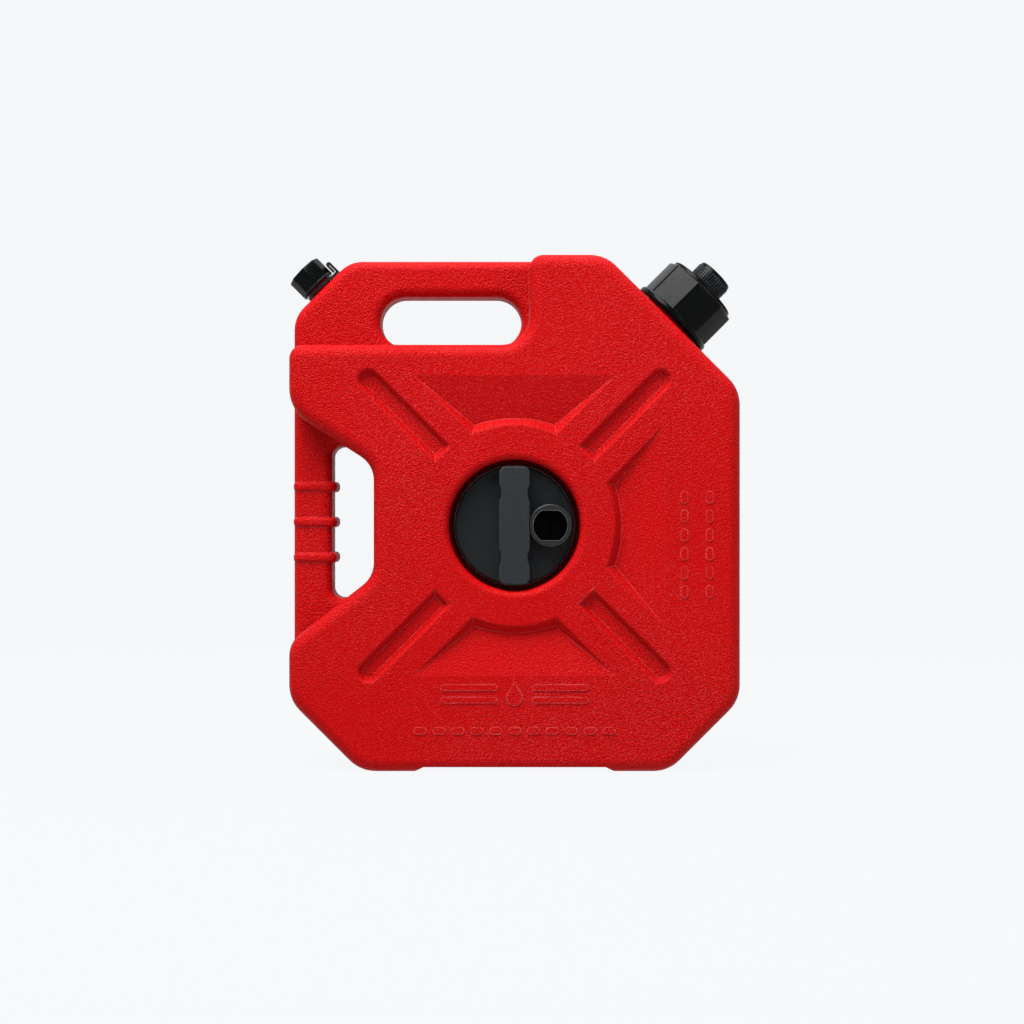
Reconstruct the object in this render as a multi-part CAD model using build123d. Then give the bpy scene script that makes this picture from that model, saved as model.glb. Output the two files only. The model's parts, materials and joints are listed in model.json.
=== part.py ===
"""A flat five-litre fuel jerry can with a keyed pack lock through its middle.

Millimetres. +Z is up and -Y is the front. The origin is on the standing surface, under the middle
of the tank. Every piece is a separate solid, written to parts/NAME.step.
"""

from build123d import *

import math
import os

# ---------------------------------------------------------------- tank, overall sizes
BODY_WIDTH = 288.0
BODY_HEIGHT = 330.0
BODY_DEPTH = 88.0
WALL = 3.0
BODY_EDGE = 8.0  # rounding between the faces and the rim

# ---------------------------------------------------------------- tank, outline of the deep block
FILLER_CHAMFER = 86.0  # top right corner, where the filler sits
FOOT_CHAMFER = 45.5  # both bottom corners
CORNER_R = 24.0
STEP_X = 9.5  # where the deep block rises beside the carrying handle
STEP_CORNER_R = 9.0
SHELF_DROP = 57.5  # top of the tank down to the shelf under the carrying handle
SHELF_R = 18.0
SHOULDER_DROP = 42.0  # straight left side between the shelf and the side grip
SHOULDER_R = 26.0
GRIP_WALL_INSET = 54.0  # left side of the tank to the wall behind the side grip
GRIP_WALL_R = 18.0
GRIP_TOP_FALL = 34.8  # drop of the sloping wall above the side grip
GRIP_FOOT_Z = 82.0
GRIP_FOOT_RISE = 42.4
GRIP_FOOT_R = 17.0
FOOT_INNER_X = 64.0
FOOT_RAMP = 6.0
FOOT_HEIGHT = 3.2

# ---------------------------------------------------------------- tank, thin web of both handles
WEB_DEPTH = 34.0
WEB_EDGE = 6.5
WEB_SIDE_SETBACK = 0.8
WEB_TOP_SETBACK = 1.5
VENT_CHAMFER = 36.0
WEB_CORNER_R = 21.0
HANDLE_BAR = 23.3  # height of the carrying handle's bar
HANDLE_SLOT_LEFT = -87.0
HANDLE_SLOT_RIGHT = 4.6
GRIP_BAR = 24.7  # width of the side grip's bar
GRIP_SLOT_R = 7.0
GRIP_RIB_Z = (136.0, 159.0, 182.0)
GRIP_RIB_HEIGHT = 7.0
GRIP_RIB_PROUD = 1.6
GRIP_RIB_FINGER = 3.2  # how far a rib stands into the slot

# ---------------------------------------------------------------- tank, pack-lock tunnel
TUNNEL_Z = 157.0
TUNNEL_GAP = 4.0  # round the mounting plate's boss
CUP_R = 42.0
CUP_LIP_R = 4.5
FRONT_CUP_DEPTH = 34.0
REAR_CUP_DEPTH = 12.0

# ---------------------------------------------------------------- tank, pressed stiffening pattern
GROOVE_INNER_R = 64.5
GROOVE_OUTER_R = 138.5
GROOVE_HALF = 7.0
GROOVE_DEPTH = 4.5
GROOVE_TAPER = 36.0
PANEL_RING_R = 64.0
PANEL_FLUSH = 95.6
PANEL_ARM_HALF = 22.2
PANEL_DEPTH = 6.0
PANEL_TAPER = 40.0
PRESSED_RIM_R = 2.0

# ---------------------------------------------------------------- tank, raised marks without words
MARK_PROUD = 0.6
DROP_R = 5.0
DROP_Z = 47.5
DROP_BAR_LENGTH = 36.0
DROP_BAR_HEIGHT = 4.0
DROP_BAR_PITCH = 8.0
DROP_BAR_AT = 29.0
DASH_LENGTH = 8.0
DASH_HEIGHT = 4.5
DASH_PITCH = 12.0
FOOT_DASHES = 11
FOOT_DASH_Z = 26.5
SIDE_DASHES = 6
SIDE_DASH_X = (108.0, 124.0)
SIDE_DASH_Z = 145.0

# ---------------------------------------------------------------- filler
FILLER_SHIFT = 2.0  # from the middle of the chamfer, towards the handle
NECK_ROOT_R = 20.6
NECK_WALL = 3.1
NECK_THREAD = 1.8
NECK_HEIGHT = 24.0
NECK_PITCH = 5.0
NECK_TURNS = 2.4
NECK_THREAD_START = 8.5
COLLAR_WALL = 2.5  # at the middle of a flat
COLLAR_PHASE = -7.6  # turn of the eight corners
COLLAR_CORNER_ROUND = 1.6
COLLAR_EDGE_ROUND = 1.2
COLLAR_FLANGE_PROUD = 1.1  # beyond the corners
COLLAR_FLANGE_LIFT = 3.0
COLLAR_FLANGE_TOP = 7.6
COLLAR_GRIP_TOP = 31.7
COLLAR_CROWN_INSET = 0.9
COLLAR_TOP = 34.0
SPOUT_FLANGE = 3.5
SPOUT_GASKET = 2.0
SPOUT_WALL = 2.8
SPOUT_BOSS_WALL = 1.3  # beyond the stopper's rim
SPOUT_STUB_LENGTH = 16.0
NOZZLE_CLEAR = 3.1  # inside the neck
NOZZLE_LENGTH = 96.0
NOZZLE_WALL = 1.8
NOZZLE_SLIP = 0.02
NOZZLE_TIP_R = 8.5
STOPPER_RIM = 2.3  # beyond the socket
STOPPER_RIB_R = 0.5
STOPPER_RIBS = 36
STOPPER_SEAL = 1.2
STOPPER_LIFT = 0.6  # gap between the collar and the stopper
STOPPER_THREAD = 0.9
STOPPER_PITCH = 3.0
STOPPER_TURNS = 2.0
STOPPER_TOP = 46.5
STOPPER_PLUG = 9.0

# ---------------------------------------------------------------- vent
VENT_ROOT_R = 7.8
VENT_WALL = 2.8
VENT_THREAD = 1.0
VENT_HEIGHT = 14.0
VENT_PITCH = 3.0
VENT_TURNS = 2.0
VENT_THREAD_START = 6.0
VENT_CAP_WALL = 2.35  # at the middle of a flat
VENT_PHASE = 1.5  # turn of the eight corners
VENT_SKIRT_LIFT = 4.2
VENT_TOP = 18.8
VENT_SEAL = 1.8
VENT_PANEL_DEPTH = 0.7
TETHER_THICK = 1.5
TETHER_WIDTH = 6.0
TETHER_CLEAR = 0.4  # beyond the cap's corners
TETHER_RISE = 9.8
TETHER_FOLD = 0.4  # gap between the folded legs
TETHER_HOOP = 3.0

# ---------------------------------------------------------------- pack lock
DISC_GAP = 3.8  # between the disc and the cup's wall
DISC_SUNK = 12.0  # below the tank's face
DISC_PLATE = 4.0
SKIRT_WALL = 3.0
THRUST_RING = 2.0
BAR_LENGTH = 75.5
BAR_WIDTH = 19.7
BAR_SUNK = 1.0  # below the tank's face
BAR_CORNER_R = 4.5
BAR_WAIST_AT = 20.5
BAR_WAIST_DEPTH = 1.3
BAR_WAIST_R = 12.0
BAR_SCREW_AT = 27.0
BAR_SCREW_R = 2.45
BAR_SCREW_BITE = 8.0
HUB_WALL = 2.5
HUB_DROP = 6.0  # how far the hub reaches below the cup floor
INSERT_WALL = 2.0
INSERT_LENGTH = 10.0
LOCK_X = 22.9
LOCK_RING_R = 13.75
LOCK_RING_SUNK = 2.5  # below the tank's face
LOCK_HOLE_R = 10.9
LOCK_FLAT = 9.5
LOCK_HEAD = 1.6
LOCK_NUT = 3.0
LOCK_NUT_FLATS = 21.6
BARREL_R = 9.0
PLUG_R = 6.2
CAM_THICK = 2.0
CAM_BELOW_NUT = 3.0
CAM_SCREW_R = 1.6
KEY_SLOT = 1.3
CAM_FINGER = 4.0
CAM_END_GAP = 0.5

# ---------------------------------------------------------------- pack mount behind the tank
BASE_GAP = 2.0  # between the plate and the rear cup's wall
BASE_PAD = 3.0
BASE_BOSS = 9.0
BASE_BOSS_WALL = 10.0
BASE_SINK = 4.0
BASE_SINK_R = 6.3
BASE_BOLT_PCD = 60.0
BASE_BOLT_R = 3.3
POST_R = 6.0
POST_SUNK = 18.0  # below the tank's face
POST_HEAD_FLATS = 18.8
POST_HEAD = 6.5
POST_HEAD_SUNK = 1.0
KEYWAY_WIDTH = 7.4  # wide enough for the cam to swing in
KEYWAY_DEPTH = 1.8
JAM_NUT_FLATS = 18.0
JAM_NUT = 7.0
JAM_WASHER = 1.6

# ---------------------------------------------------------------- clearances
THREAD_GAP = 0.4
RUNNING = 0.1
SLIP = 0.2

# ---------------------------------------------------------------- worked out from the sizes above
OCTAGON = math.cos(math.radians(22.5))  # flat radius over corner radius
NECK_BORE_R = NECK_ROOT_R - NECK_WALL
NECK_CREST_R = NECK_ROOT_R + NECK_THREAD
COLLAR_FLAT_R = NECK_CREST_R + THREAD_GAP + COLLAR_WALL
COLLAR_CORNER_R = COLLAR_FLAT_R / OCTAGON
COLLAR_FLANGE_R = COLLAR_CORNER_R + COLLAR_FLANGE_PROUD
COLLAR_CROWN_R = COLLAR_FLAT_R - COLLAR_CROWN_INSET
SPOUT_STUB_R = NECK_BORE_R - NOZZLE_CLEAR - NOZZLE_WALL
SPOUT_SOCKET_R = SPOUT_STUB_R - SPOUT_WALL
STOPPER_R = SPOUT_SOCKET_R + STOPPER_RIM
SPOUT_BOSS_R = STOPPER_R + SPOUT_BOSS_WALL
FLANGE_FOOT = NECK_HEIGHT + SPOUT_GASKET
FLANGE_TOP = FLANGE_FOOT + SPOUT_FLANGE
STOPPER_FOOT = COLLAR_TOP + STOPPER_LIFT
BOSS_TOP = STOPPER_FOOT - STOPPER_SEAL
VENT_BORE_R = VENT_ROOT_R - VENT_WALL
VENT_CREST_R = VENT_ROOT_R + VENT_THREAD
VENT_CORNER_R = (VENT_CREST_R + THREAD_GAP + VENT_CAP_WALL) / OCTAGON
VENT_CAP_ROOF = VENT_HEIGHT + VENT_SEAL

HALF = BODY_DEPTH / 2
LEFT = -BODY_WIDTH / 2
RIGHT = BODY_WIDTH / 2
SHELF_Z = BODY_HEIGHT - SHELF_DROP
SHOULDER_Z = SHELF_Z - SHOULDER_DROP
GRIP_WALL_X = LEFT + GRIP_WALL_INSET
RAKE = math.sqrt(0.5)  # of both sloping corners

# Heights of the pack lock's pieces, measured forward from the mid plane.
CUP_FLOOR = HALF - FRONT_CUP_DEPTH
REAR_FLOOR = -HALF + REAR_CUP_DEPTH
INSERT_R = POST_R + INSERT_WALL
HUB_R = INSERT_R + HUB_WALL
BASE_BOSS_R = POST_R + BASE_BOSS_WALL
TUNNEL_BORE_R = BASE_BOSS_R + TUNNEL_GAP
BASE_R = CUP_R - BASE_GAP
BASE_BACK = -HALF
FLANGE_FRONT = REAR_FLOOR - BASE_PAD
BOSS_FRONT = FLANGE_FRONT + BASE_BOSS
HEAD_FOOT = BASE_BACK + POST_HEAD_SUNK
POST_TOP = HALF - POST_SUNK
DISC_R = CUP_R - DISC_GAP
DISC_FRONT = HALF - DISC_SUNK
DISC_BACK = DISC_FRONT - DISC_PLATE
SKIRT_FOOT = CUP_FLOOR + THRUST_RING
HUB_FOOT = CUP_FLOOR - HUB_DROP
BAR_FRONT = HALF - BAR_SUNK
LOCK_RING_FRONT = HALF - LOCK_RING_SUNK
CAM_TOP = DISC_BACK - LOCK_NUT - CAM_BELOW_NUT
CAM_FOOT = CAM_TOP - CAM_THICK
CAM_REACH = LOCK_X - POST_R + KEYWAY_DEPTH - CAM_END_GAP

# Working planes. MID looks out of the front; the others stand on the tank, normal outwards.
MID = Plane(origin=(0, 0, 0), x_dir=(1, 0, 0), z_dir=(0, -1, 0))
LOCK = Plane(origin=(0, 0, TUNNEL_Z), x_dir=(1, 0, 0), z_dir=(0, -1, 0))
FILLER = Plane(
    origin=(
        RIGHT - FILLER_CHAMFER / 2 - FILLER_SHIFT * RAKE,
        0,
        BODY_HEIGHT - FILLER_CHAMFER / 2 + FILLER_SHIFT * RAKE,
    ),
    x_dir=(0, -1, 0),
    z_dir=(1, 0, 1),
)
WEB_LEFT = LEFT + WEB_SIDE_SETBACK
WEB_TOP = BODY_HEIGHT - WEB_TOP_SETBACK
VENT = Plane(
    origin=(WEB_LEFT + VENT_CHAMFER / 2, 0, WEB_TOP - VENT_CHAMFER / 2),
    x_dir=(0, -1, 0),
    z_dir=(-1, 0, 1),
)


# ---------------------------------------------------------------- small helpers
def rod(radius, low, high):
    """Cylinder about the local Z axis between two heights."""
    return Pos(0, 0, low) * Cylinder(radius, high - low, align=(Align.CENTER, Align.CENTER, Align.MIN))


def ring(outer, inner, low, high):
    """Plain ring about the local Z axis."""
    return rod(outer, low, high) - rod(inner, low, high)


def octagon(radius, phase):
    """Eight-sided outline by its corner radius, turned by phase degrees."""
    corners = [
        (radius * math.cos(math.radians(phase + 45 * k)), radius * math.sin(math.radians(phase + 45 * k)))
        for k in range(8)
    ]
    return Polygon(*corners, align=None)


def hexagon(flats, low, high):
    """Hexagonal prism by its width across flats."""
    return Pos(0, 0, low) * extrude(RegularPolygon(flats / 2, 6, major_radius=False), high - low)


def rounded_outline(corners):
    """Closed outline from (x, z, radius) corners."""
    outline = Polygon(*[(x, z) for x, z, _ in corners], align=None)
    for x, z, radius in corners:
        if radius:
            corner = outline.vertices().sort_by_distance((x, z, 0))[0]
            outline = fillet(corner, radius)
    return outline


def thread(root, height, pitch, turns, start):
    """Helical ridge standing on a cylinder, for fusing to it."""
    sunk = 0.3
    path = Pos(0, 0, start) * Helix(pitch, pitch * turns, root - sunk)
    foot, crest = 0.3 * pitch, 0.13 * pitch
    profile = Polygon((0, -foot), (height + sunk, -crest), (height + sunk, crest), (0, foot), align=None)
    section = Plane(origin=path @ 0, x_dir=(1, 0, 0), z_dir=(0, -1, 0)) * profile
    return sweep(section, path=path, is_frenet=True)


# ---------------------------------------------------------------- tank
def block_outline():
    """Outline of the deep block, which has the filler, the feet and the wall behind the grip."""
    return rounded_outline(
        [
            (LEFT + FOOT_CHAMFER, 0, CORNER_R),
            (RIGHT - FOOT_CHAMFER, 0, CORNER_R),
            (RIGHT, FOOT_CHAMFER, CORNER_R),
            (RIGHT, BODY_HEIGHT - FILLER_CHAMFER, CORNER_R),
            (RIGHT - FILLER_CHAMFER, BODY_HEIGHT, CORNER_R),
            (STEP_X, BODY_HEIGHT, STEP_CORNER_R),
            (STEP_X, SHELF_Z, SHELF_R),
            (LEFT, SHELF_Z, STEP_CORNER_R),
            (LEFT, SHOULDER_Z, SHOULDER_R),
            (GRIP_WALL_X, SHOULDER_Z - GRIP_TOP_FALL, GRIP_WALL_R),
            (GRIP_WALL_X, GRIP_FOOT_Z + GRIP_FOOT_RISE, GRIP_WALL_R),
            (LEFT, GRIP_FOOT_Z, GRIP_FOOT_R),
            (LEFT, FOOT_CHAMFER, CORNER_R),
        ]
    )


def web_outline():
    """Outline of the thin web that carries both handles; its right and lower parts lie in the block."""
    right = STEP_X + 25.0
    low = GRIP_FOOT_Z - 14.0
    return rounded_outline(
        [
            (WEB_LEFT, low, 9.0),
            (right, low, 9.0),
            (right, WEB_TOP, 9.0),
            (WEB_LEFT + VENT_CHAMFER, WEB_TOP, WEB_CORNER_R),
            (WEB_LEFT, WEB_TOP - VENT_CHAMFER, WEB_CORNER_R),
        ]
    )


def handle_slot():
    """Opening under the carrying handle, down to the shelf."""
    high = WEB_TOP - HANDLE_BAR
    length = HANDLE_SLOT_RIGHT - HANDLE_SLOT_LEFT
    middle = ((HANDLE_SLOT_LEFT + HANDLE_SLOT_RIGHT) / 2, (high + SHELF_Z) / 2)
    return Pos(*middle) * SlotOverall(length, high - SHELF_Z)


def grip_slot():
    """Opening behind the side grip; its slopes follow the block's walls."""
    bar = WEB_LEFT + GRIP_BAR
    top_slope = GRIP_TOP_FALL / GRIP_WALL_INSET
    foot_slope = GRIP_FOOT_RISE / GRIP_WALL_INSET
    return rounded_outline(
        [
            (bar, GRIP_FOOT_Z + foot_slope * (bar - LEFT), GRIP_SLOT_R),
            (GRIP_WALL_X, GRIP_FOOT_Z + GRIP_FOOT_RISE, GRIP_WALL_R),
            (GRIP_WALL_X, SHOULDER_Z - GRIP_TOP_FALL, GRIP_WALL_R),
            (bar, SHOULDER_Z - top_slope * (bar - LEFT), GRIP_SLOT_R),
        ]
    )


def slab(outline, half, edge):
    """Outline pushed out both ways from the mid plane, with rounded rims."""
    solid = extrude(MID * outline, half, both=True)
    rims = solid.faces().filter_by(Axis.Y).edges()
    return fillet(rims, edge)


def grip_ribs(inset):
    """Finger ribs round the side grip's bar."""
    ribs = []
    low_x = WEB_LEFT - 0.4 + inset
    high_x = WEB_LEFT + GRIP_BAR + GRIP_RIB_FINGER - inset
    depth = WEB_DEPTH + 2 * GRIP_RIB_PROUD - 2 * inset
    height = GRIP_RIB_HEIGHT - inset
    for z in GRIP_RIB_Z:
        rib = Pos((low_x + high_x) / 2, 0, z) * Box(high_x - low_x, depth, height)
        rib = fillet(rib.edges().filter_by(Axis.Z), WEB_EDGE - inset)
        ribs.append(fillet(rib.faces().filter_by(Axis.Z).edges(), height * 0.42))
    return ribs


def groove(inset):
    """One radial groove cutter, on the local X axis of the lock's front plane."""
    half = GROOVE_HALF + inset
    outer = GROOVE_OUTER_R + inset - half
    inner = GROOVE_INNER_R - inset
    shape = Pos((inner + outer) / 2, 0) * Rectangle(outer - inner, 2 * half) + Pos(outer, 0) * Circle(half)
    return Pos(0, 0, HALF) * extrude(shape, -(GROOVE_DEPTH + inset), taper=GROOVE_TAPER)


def panel(inset):
    """One ramped panel cutter, above the tunnel: deepest at the ring, flush at PANEL_FLUSH."""
    lean = math.tan(math.radians(PANEL_TAPER))
    spread = inset / math.cos(math.radians(PANEL_TAPER))
    slope = PANEL_DEPTH / (PANEL_FLUSH - PANEL_RING_R)
    drop = inset * math.hypot(1, slope)
    low, high, far = HALF - 1.5 * PANEL_DEPTH - drop, HALF + 1.0, BODY_HEIGHT

    def beyond(start):
        return Polygon(
            (start - lean * (high - HALF), high), (far, high), (far, low), (start + lean * (HALF - low), low),
            align=None,
        )

    arm = beyond(PANEL_ARM_HALF - spread)
    right_arm = extrude(Plane(origin=(0, 0, 0), x_dir=(-1, 1, 0), z_dir=(1, 1, 0)) * arm, far, both=True)
    left_arm = extrude(Plane(origin=(0, 0, 0), x_dir=(1, 1, 0), z_dir=(1, -1, 0)) * arm, far, both=True)
    flush = PANEL_FLUSH + drop / slope
    wedge = Polygon(
        (flush + (high - HALF) / slope, high), (0, high), (0, HALF - flush * slope), align=None
    )
    ramp = extrude(Plane(origin=(0, 0, 0), x_dir=(0, 1, 0), z_dir=(1, 0, 0)) * wedge, far, both=True)
    ring_r = PANEL_RING_R - spread
    core = Pos(0, 0, (low + high) / 2) * Cone(
        ring_r + lean * (HALF - low), ring_r - lean * (high - HALF), high - low
    )
    return (ramp & right_arm & left_arm) - core


def stiffening(inset):
    """All grooves and panels of the front, as cutters in the tank's frame."""
    cutters = [LOCK * Rot(0, 0, turn) * groove(inset) for turn in (45, 135, 225, 315)]
    cutters += [LOCK * Rot(0, 0, turn) * panel(inset) for turn in (0, 180, 270)]
    return cutters


def tunnel(inset):
    """Cutter for the two cups and the bore that joins them."""
    cup = CUP_R + inset
    margin = 1.0
    front = rod(cup, CUP_FLOOR - inset, HALF + margin)
    rear = rod(cup, -HALF - margin, REAR_FLOOR + inset)
    return LOCK * (front + rear + rod(TUNNEL_BORE_R + inset, REAR_FLOOR, CUP_FLOOR))


def foot_gap(inset):
    """Cutter between the two feet."""
    high = FOOT_HEIGHT + inset
    wide = FOOT_INNER_X + inset
    shape = Polygon(
        (-wide - FOOT_RAMP, -high), (wide + FOOT_RAMP, -high), (wide - FOOT_RAMP, high), (-wide + FOOT_RAMP, high),
        align=None,
    )
    return extrude(MID * shape, BODY_DEPTH, both=True)


def skin(inset):
    """The tank's form, drawn in by inset on every side: 0 outside, WALL inside."""
    half, web_half = HALF - inset, WEB_DEPTH / 2 - inset
    block_face, web_face = block_outline(), web_outline()
    slots = handle_slot() + grip_slot()
    if inset:
        block_face, web_face = offset(block_face, -inset), offset(web_face, -inset)
        slots = offset(handle_slot(), inset) + offset(grip_slot(), inset)
    web = slab(web_face - slots, web_half, WEB_EDGE - inset)
    for rib in grip_ribs(inset):
        web = web + rib
    form = slab(block_face, half, BODY_EDGE - inset) + web - tunnel(inset)
    for cutter in stiffening(inset):
        form = form - cutter - mirror(cutter, about=Plane.XZ)
    if not inset:
        form = fillet([e for e in form.edges() if on_cup_mouth(e)], CUP_LIP_R)
        form = fillet([e for e in form.edges() if on_pressed_rim(e)], PRESSED_RIM_R)
    return form - foot_gap(inset)


def on_cup_mouth(edge):
    """True for the rims where the tunnel's cups meet the tank's faces."""
    round_rim = edge.geom_type == GeomType.CIRCLE and abs(edge.radius - CUP_R) < 0.01
    return round_rim and abs(abs(edge.center().Y) - HALF) < 0.01


def on_pressed_rim(edge):
    """True for the sharp rims of the grooves and panels in both faces, but not a ramp's flush line."""
    ends = [edge @ 0, edge @ 0.5, edge @ 1]
    if any(abs(abs(point.Y) - HALF) > 0.01 for point in ends):
        return False
    if any(math.hypot(point.X, point.Z - TUNNEL_Z) > GROOVE_OUTER_R + 1 for point in ends):
        return False
    if math.hypot(ends[1].X, ends[1].Z - TUNNEL_Z) < CUP_R + CUP_LIP_R + 1:
        return False
    out = max(abs(ends[1].X), abs(ends[1].Z - TUNNEL_Z))
    level = abs(ends[0].X - ends[2].X) < 0.01 or abs(ends[0].Z - ends[2].Z) < 0.01
    return not (level and abs(out - PANEL_FLUSH) < 0.5)


def dash_row(count):
    """Row of short dashes, centred."""
    dash = SlotOverall(DASH_LENGTH, DASH_HEIGHT)
    return [Pos((k - (count - 1) / 2) * DASH_PITCH, 0) * dash for k in range(count)]


def mould_marks():
    """Plain raised marks: a drop between bars, a row of dashes below it and two rows on the right."""
    point = Polygon((-0.87 * DROP_R, 0.5 * DROP_R), (0.87 * DROP_R, 0.5 * DROP_R), (0, 2 * DROP_R), align=None)
    shapes = [Pos(0, DROP_Z) * (Circle(DROP_R) + point)]
    for side in (-1, 1):
        for row in (-1, 1):
            place = Pos(side * DROP_BAR_AT, DROP_Z + DROP_R / 2 + row * DROP_BAR_PITCH / 2)
            shapes.append(place * SlotOverall(DROP_BAR_LENGTH, DROP_BAR_HEIGHT))
    shapes += [Pos(0, FOOT_DASH_Z) * dash for dash in dash_row(FOOT_DASHES)]
    for x in SIDE_DASH_X:
        shapes += [Pos(x, SIDE_DASH_Z) * Rot(0, 0, 90) * dash for dash in dash_row(SIDE_DASHES)]
    sunk = 0.5
    front = MID * Pos(0, 0, HALF - sunk)
    return [front * extrude(shape, MARK_PROUD + sunk) for shape in shapes]


def make_tank():
    """Hollow tank with both necks and their threads."""
    filler_neck = rod(NECK_ROOT_R, -WALL - 2, NECK_HEIGHT)
    filler_neck = fillet(filler_neck.faces().sort_by(Axis.Z)[-1].edges(), 0.8)
    vent_neck = rod(VENT_ROOT_R, -WALL - 2, VENT_HEIGHT)
    vent_neck = fillet(vent_neck.faces().sort_by(Axis.Z)[-1].edges(), 0.5)
    tank = skin(0)
    for mark in mould_marks():
        tank = tank + mark
    cavity = skin(WALL)
    print("capacity in litres", round(cavity.volume / 1e6, 2))
    tank = tank + FILLER * filler_neck + VENT * vent_neck
    tank = tank - cavity
    bores = FILLER * rod(NECK_BORE_R, -WALL - 3, NECK_HEIGHT + 1)
    bores += VENT * rod(VENT_BORE_R, -WALL - 3, VENT_HEIGHT + 1)
    tank = tank - bores
    neck_thread = thread(NECK_ROOT_R, NECK_THREAD, NECK_PITCH, NECK_TURNS, NECK_THREAD_START)
    vent_thread = thread(VENT_ROOT_R, VENT_THREAD, VENT_PITCH, VENT_TURNS, VENT_THREAD_START)
    return tank + FILLER * neck_thread + VENT * vent_thread


# ---------------------------------------------------------------- filler
def make_collar():
    """Eight-sided screw collar with a round skirt flange and a hole for the stopper's boss."""
    grip = Pos(0, 0, COLLAR_FLANGE_LIFT) * extrude(
        octagon(COLLAR_CORNER_R, COLLAR_PHASE), COLLAR_GRIP_TOP - COLLAR_FLANGE_LIFT
    )
    uprights = grip.edges().filter_by(Axis.Z)
    grip = fillet(uprights, COLLAR_CORNER_ROUND)
    grip = fillet(grip.faces().sort_by(Axis.Z)[-1].edges(), COLLAR_EDGE_ROUND)
    flange = rod(COLLAR_FLANGE_R, COLLAR_FLANGE_LIFT, COLLAR_FLANGE_TOP)
    flange = fillet(flange.edges().filter_by(GeomType.CIRCLE), 1.8)
    crown = rod(COLLAR_CROWN_R, COLLAR_GRIP_TOP - 1, COLLAR_TOP)
    crown = fillet(crown.faces().sort_by(Axis.Z)[-1].edges(), COLLAR_EDGE_ROUND)
    collar = grip + flange + crown
    collar -= rod(NECK_CREST_R + THREAD_GAP, COLLAR_FLANGE_LIFT - 1, FLANGE_TOP)
    return FILLER * (collar - rod(SPOUT_BOSS_R + SLIP, FLANGE_TOP - 1, COLLAR_TOP + 1))


def make_spout_base():
    """Flange that the collar clamps, its boss for the stopper and the stub that holds the nozzle."""
    base = rod(NECK_CREST_R - SLIP, FLANGE_FOOT, FLANGE_TOP)
    base += rod(SPOUT_BOSS_R, FLANGE_FOOT, BOSS_TOP)
    base += rod(SPOUT_STUB_R, FLANGE_FOOT - SPOUT_STUB_LENGTH, FLANGE_FOOT)
    base -= rod(SPOUT_SOCKET_R, BOSS_TOP - STOPPER_PLUG - 1, BOSS_TOP + 1)
    return FILLER * (base - rod(SPOUT_SOCKET_R - 1.8, FLANGE_FOOT - SPOUT_STUB_LENGTH - 1, BOSS_TOP))


def make_nozzle():
    """Pouring nozzle, stored point down in the tank on the base's stub."""
    tip = FLANGE_FOOT - NOZZLE_LENGTH
    root = SPOUT_STUB_R + NOZZLE_WALL
    shoulder = FLANGE_FOOT - SPOUT_STUB_LENGTH - 4
    outer = Polygon(
        (0, FLANGE_FOOT), (root, FLANGE_FOOT), (root, shoulder), (NOZZLE_TIP_R, tip), (0, tip), align=None
    )
    hollow = NOZZLE_TIP_R - NOZZLE_WALL
    inner = Polygon(
        (0, FLANGE_FOOT + 1),
        (SPOUT_STUB_R + NOZZLE_SLIP, FLANGE_FOOT + 1),
        (SPOUT_STUB_R + NOZZLE_SLIP, shoulder + NOZZLE_WALL),
        (hollow, tip + NOZZLE_LENGTH / 4),
        (hollow, tip - 1),
        (0, tip - 1),
        align=None,
    )
    return FILLER * revolve(Plane.XZ * (outer - inner), Axis.Z)


def make_spout_gasket():
    """Flat ring between the neck's rim and the spout's flange."""
    return FILLER * ring(NECK_ROOT_R, NECK_BORE_R, NECK_HEIGHT, FLANGE_FOOT)


def make_stopper():
    """Small ribbed screw stopper with a hollow threaded plug."""
    cap = rod(STOPPER_R, STOPPER_FOOT, STOPPER_TOP)
    cap = fillet(cap.faces().sort_by(Axis.Z)[-1].edges(), 1.6)
    cap = fillet(cap.faces().sort_by(Axis.Z)[0].edges(), 0.6)
    rib = Pos(STOPPER_R, 0, 0) * rod(STOPPER_RIB_R, STOPPER_FOOT + 1.6, STOPPER_TOP - 3.0)
    for k in range(STOPPER_RIBS):
        cap = cap + Rot(0, 0, 360 / STOPPER_RIBS * k) * rib
    root = SPOUT_SOCKET_R - THREAD_GAP - STOPPER_THREAD
    cap = cap + rod(root, STOPPER_FOOT - STOPPER_PLUG, STOPPER_FOOT + 1)
    cap = cap - rod(root - 2.0, STOPPER_FOOT - STOPPER_PLUG - 1, STOPPER_TOP - 3.5)
    start = STOPPER_FOOT - STOPPER_PLUG + 1.2
    ridge = thread(root, STOPPER_THREAD, STOPPER_PITCH, STOPPER_TURNS, start)
    return FILLER * (cap + ridge)


def make_stopper_seal():
    """Seal ring under the stopper's rim."""
    return FILLER * ring(STOPPER_R - 0.4, SPOUT_SOCKET_R, BOSS_TOP, STOPPER_FOOT)


# ---------------------------------------------------------------- vent
def make_vent_cap():
    """Small eight-sided screw cap with a shallow sunk top."""
    cap = Pos(0, 0, VENT_SKIRT_LIFT) * extrude(octagon(VENT_CORNER_R, VENT_PHASE), VENT_TOP - VENT_SKIRT_LIFT)
    cap = fillet(cap.edges().filter_by(Axis.Z), 1.0)
    cap = fillet(cap.faces().sort_by(Axis.Z)[-1].edges(), 0.9)
    cap -= rod(VENT_CREST_R + THREAD_GAP, VENT_SKIRT_LIFT - 1, VENT_CAP_ROOF)
    return VENT * (cap - rod(VENT_CORNER_R - 3.2, VENT_TOP - VENT_PANEL_DEPTH, VENT_TOP + 1))


def make_vent_seal():
    """Sealing disc in the vent cap."""
    return VENT * rod(VENT_CREST_R, VENT_HEIGHT, VENT_CAP_ROOF)


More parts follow.
